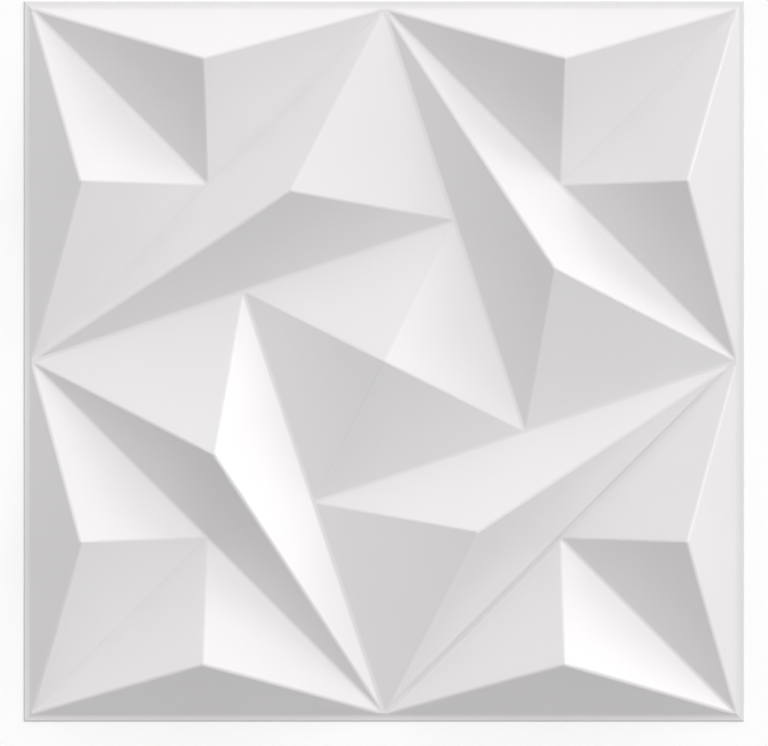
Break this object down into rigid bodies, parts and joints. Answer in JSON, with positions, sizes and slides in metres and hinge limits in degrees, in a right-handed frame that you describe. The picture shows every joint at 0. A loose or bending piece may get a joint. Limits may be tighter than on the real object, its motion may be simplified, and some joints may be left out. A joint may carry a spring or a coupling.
{
  "type": "decorative wall panel",
  "caption": "Square white thermoformed PVC wall panel: hollow-backed facets in corner stars round a pinwheel and a middle pyramid, with a flat rim that butts against the next panel.",
  "frame": {"origin": "centre of the panel's square outline, on the plane that the underside of its rim rests on", "axes": "+Z out of the patterned face, up as the panel lies on its back; +Y towards the picture's top edge; +X towards the picture's right edge"},
  "size_m": [0.5, 0.5, 0.0305],
  "materials": {
    "white_pvc": "satin"
  },
  "bodies": {
    "root": {"panel": "white_pvc"}
  },
  "joints": []
}
